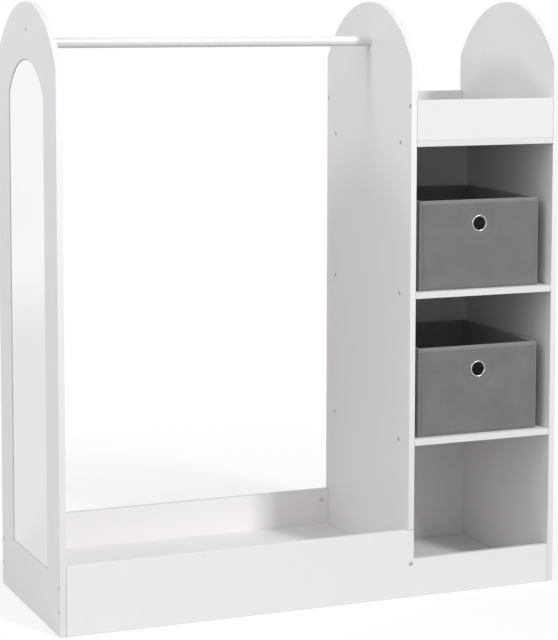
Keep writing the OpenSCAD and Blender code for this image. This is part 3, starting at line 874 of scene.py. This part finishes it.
WELT_RADIUS = 1.8 * MM
WELT_SIDES = 10
WELT_DEPTH = 0.9 * MM                    # from the bin's faces in to a welt's axis
WELT_LOW, WELT_DROP = 0.4 * MM, 0.8 * MM     # its ends, above the underside and below the rim
WELT_SWAY = 0.2 * MM
WELT_SWAYS = 30                          # how often it sways, per metre
STITCH = 3.2 * MM
STITCH_PITCH = 4.4 * MM
STITCH_HEIGHT = 2.2 * MM                 # above the hem's lower edge
STITCH_TILT = 0.06
STITCH_TURN = 7.3                        # radians from stitch to stitch, so that tilts look uneven
THREAD_RADIUS = 0.28 * MM
THREAD_SIDES = 6
THREAD_PROUD = 0.35 * MM                 # how far the outer stitches' middles are off the hem
STITCH_RINGS = (                         # along in stitch lengths, out and size in thread radii
    (-0.5, -0.9, 0.45), (-0.38, 0.15, 0.9), (0, 0.5, 1.0), (0.38, 0.15, 0.9), (0.5, -0.9, 0.45),
)


def upright_tube(shape, path, radius, sides):
    """A closed tube along a path that runs mainly upwards, with flat ends."""
    rings = []
    for i, point in enumerate(path):
        along = (path[min(i + 1, len(path) - 1)] - path[max(i - 1, 0)]).normalized()
        across = Vector((1, 0, 0))
        across = (across - along * across.dot(along)).normalized()
        up = along.cross(across)
        ring = []
        for k in range(sides):
            angle = 2 * math.pi * k / sides
            spoke = across * math.cos(angle) + up * math.sin(angle)
            ring.append(shape.verts.new(point + radius * spoke))
        rings.append(ring)
    bridge(shape, rings)


def make_welts(box):
    """A narrow welt sewn up each of the four corners."""
    shape = bmesh.new()
    for side_x in (-1, 1):
        for side_y in (-1, 1):
            path = []
            for z in wall_heights(WELT_LOW, box.tall - WELT_DROP):
                sway = WELT_SWAY * noise.noise(Vector((side_x, side_y, z * WELT_SWAYS)))
                path.append(Vector((
                    box.middle.x + side_x * (box.half_x - WELT_DEPTH) + sway,
                    box.middle.y + side_y * (box.half_y - WELT_DEPTH) - sway,
                    box.base + z,
                )))
            upright_tube(shape, path, WELT_RADIUS, WELT_SIDES)
    bmesh.ops.recalc_face_normals(shape, faces=shape.faces)
    smooth_by_angle(shape)
    mesh = mesh_of(shape, box.name + "_corner_welts")
    # the welts take the paler felt, a painted highlight
    new_piece(box.name + "_corner_welts", mesh, box.name + "_cover", (WELT_HIGHLIGHT_FELT,))


def add_stitch(shape, middle, along, out):
    """One stitch: a short rounded bar whose ends dip into the fabric."""
    across = along.cross(out).normalized()
    rings = []
    for reach, lift, size in STITCH_RINGS:
        centre = middle + along * (reach * STITCH) + out * (lift * THREAD_RADIUS)
        ring = []
        for k in range(THREAD_SIDES):
            angle = 2 * math.pi * k / THREAD_SIDES
            spoke = across * math.cos(angle) + out * math.sin(angle)
            ring.append(shape.verts.new(centre + THREAD_RADIUS * size * spoke))
        rings.append(ring)
    bridge(shape, rings)


def add_stitch_row(shape, box, axis, side, inset, facing):
    """A row of stitches along one side of the hem; facing is 1 outside and -1 inside."""
    half = (box.half_x, box.half_y)[axis] - 2 * CORNER
    swell = HEM_LOOSE * (FOLD + PUFF) if facing == 1 else 0
    offset = side * ((box.half_y, box.half_x)[axis] - inset + facing * swell)
    out = Vector((0, side * facing, 0)) if axis == 0 else Vector((side * facing, 0, 0))
    along = Vector((1, 0, 0)) if axis == 0 else Vector((0, 1, 0))
    height = box.base + box.tall - HEM_DROP + STITCH_HEIGHT
    count = int(2 * half / STITCH_PITCH)
    for i in range(count):
        place = (i + 0.5 - count / 2) * STITCH_PITCH
        x, y = (place, offset) if axis == 0 else (offset, place)
        tilt = Vector((0, 0, STITCH_TILT * math.sin(STITCH_TURN * i)))
        middle = Vector((box.middle.x + x, box.middle.y + y, height))
        add_stitch(shape, middle, (along + tilt).normalized(), out)


def make_hem_stitches(box):
    """Two rows of stitches through the hem, outside and inside."""
    shape = bmesh.new()
    for inset, facing in ((-HEM_PROUD - THREAD_PROUD, 1), (HEM_IN, -1)):
        for axis in (0, 1):
            for side in (-1, 1):
                add_stitch_row(shape, box, axis, side, inset, facing)
    bmesh.ops.recalc_face_normals(shape, faces=shape.faces)
    smooth_all(shape)
    mesh = mesh_of(shape, box.name + "_hem_stitches")
    new_piece(box.name + "_hem_stitches", mesh, box.name + "_cover", (THREAD,))


def make_bins():
    for name in ("upper_bin", "lower_bin"):
        box = Bin(name)
        make_cover(box)
        make_lining(box)
        make_base_board(box)
        make_welts(box)
        make_hem_stitches(box)


def dress_shown_nodes():
    """The nodes that keep their own solid get their slot's material."""
    for node, piece in NODES.items():
        if not piece.hide_render:
            piece.data.materials.clear()
            piece.data.materials.append(SLOT_MATERIALS[SLOT_OF[node]])


# ---- surroundings ----

PURE_WHITE = (1, 1, 1, 1)
FLOOR_REACH = 9.0
FLOOR_CELLS = 8
FADE_START, FADE_END = 0.5, 1.8          # the floor turns into plain white between these distances
FADE_LEAST = 0.7                         # how white the floor is nearest the object
FAR_START, FAR_END = 3.0, 5.5            # in the mirror the floor meets the backdrop between these
FAR_FLOOR = 0.85                         # how white the mirror shows the floor before that
FLOOR_SEEN = (0.95, 0.95, 0.95)
FLOOR_TONE = 0.98                        # its darker patches, in shares of that
FLOOR_BOUNCE = (0.42, 0.42, 0.42)        # what it gives back to the object, as a studio floor would
DOME_LIGHT = 0.475
LAMPS = {                                # place, aim, size and watts
    "key_softbox": ((4.141, -10.526, 8.205), (0.1, 0, 0.6), (1.666, 1.666), 1020),
    "fill_softbox": ((-5.1, -6.6, 3.2), (0, 0, 0.5), (4.8, 3.9), 60),
    "side_softbox": ((-6.158, -2.241, 5.189), (0, 0, 0.6), (5.0, 5.0), 140),
    # this one casts the arched shadows and the rod's streak on the panels
    "left_softbox": ((-6.5, 0, 3.89), (0, 0, 0.9), (1.0, 1.0), 70),
}


def larger(tree, first, second):
    return add(tree, "ShaderNodeMath", {0: first, 1: second}, operation="MAXIMUM").outputs[0]


def seen_directly(tree):
    """1 for what the camera, a mirror or glass sees, 0 for light that falls on the object."""
    path = add(tree, "ShaderNodeLightPath").outputs
    first = larger(tree, path["Is Camera Ray"], path["Is Glossy Ray"])
    return larger(tree, first, path["Is Transmission Ray"])


def blend_shaders(tree, amount, first, second):
    inputs = {0: amount, 1: first.outputs[0], 2: second.outputs[0]}
    return add(tree, "ShaderNodeMixShader", inputs).outputs[0]


def make_world():
    world = bpy.data.worlds.new("studio")
    world.use_nodes = True
    bpy.context.scene.world = world
    tree = world.node_tree
    tree.nodes.clear()
    light = add(tree, "ShaderNodeBackground", {"Color": PURE_WHITE, "Strength": DOME_LIGHT})
    white = add(tree, "ShaderNodeBackground", {"Color": PURE_WHITE, "Strength": 1.0})
    add(tree, "ShaderNodeOutputWorld", {"Surface": blend_shaders(tree, seen_directly(tree), light, white)})


def floor_material():
    """Pale where it is seen, darker for the light it gives back, and plain white further out."""
    material, tree, shader = new_material("pale_floor", Roughness=0.9, Specular_IOR_Level=0.1)
    where = place_coordinates(tree)
    tone = between(tree, grain(tree, where, scale=4.0))
    seen = seen_directly(tree)
    colour = blend_colours(tree, tone, FLOOR_SEEN, scaled(FLOOR_SEEN, FLOOR_TONE))
    connect(tree, shader, Base_Color=blend_colours(tree, seen, FLOOR_BOUNCE, colour))
    away = add(tree, "ShaderNodeVectorMath", {0: where}, operation="LENGTH").outputs["Value"]
    soft = {"interpolation_type": "SMOOTHSTEP"}
    fade = remap(tree, away, FADE_START, FADE_END, FADE_LEAST, **soft)
    amount = add(tree, "ShaderNodeMath", {0: fade, 1: seen}, operation="MULTIPLY").outputs[0]
    reflected = remap(tree, away, FAR_START, FAR_END, FAR_FLOOR, **soft)
    glossy = add(tree, "ShaderNodeLightPath").outputs["Is Glossy Ray"]
    strength = add(tree, "ShaderNodeMix", {0: glossy, 2: 1.0, 3: reflected}, data_type="FLOAT").outputs[0]
    white = add(tree, "ShaderNodeEmission", {"Color": PURE_WHITE, "Strength": strength})
    output = next(n for n in tree.nodes if n.type == "OUTPUT_MATERIAL")
    tree.links.new(blend_shaders(tree, amount, shader, white), output.inputs["Surface"])
    return material


def make_floor():
    """A pale floor that keeps the object's shadow."""
    shape = bmesh.new()
    bmesh.ops.create_grid(shape, x_segments=FLOOR_CELLS, y_segments=FLOOR_CELLS, size=FLOOR_REACH)
    mesh = mesh_of(shape, "floor")
    floor = new_object("floor", mesh)
    mesh.materials.append(floor_material())


def softbox(name, place, aim, size, power):
    data = bpy.data.lights.new(name, "AREA")
    data.shape = "RECTANGLE"
    data.size, data.size_y = size
    data.energy = power
    lamp = new_object(name, data)
    lamp.location = place
    lamp.rotation_euler = (Vector(aim) - Vector(place)).to_track_quat("-Z", "Y").to_euler()


def make_light():
    make_world()
    for name, lamp in LAMPS.items():
        softbox(name, *lamp)


make_camera()
make_boards()
make_fittings()
make_rod()
make_bins()
dress_shown_nodes()
make_floor()
make_light()
bpy.context.scene.view_settings.view_transform = "Standard"
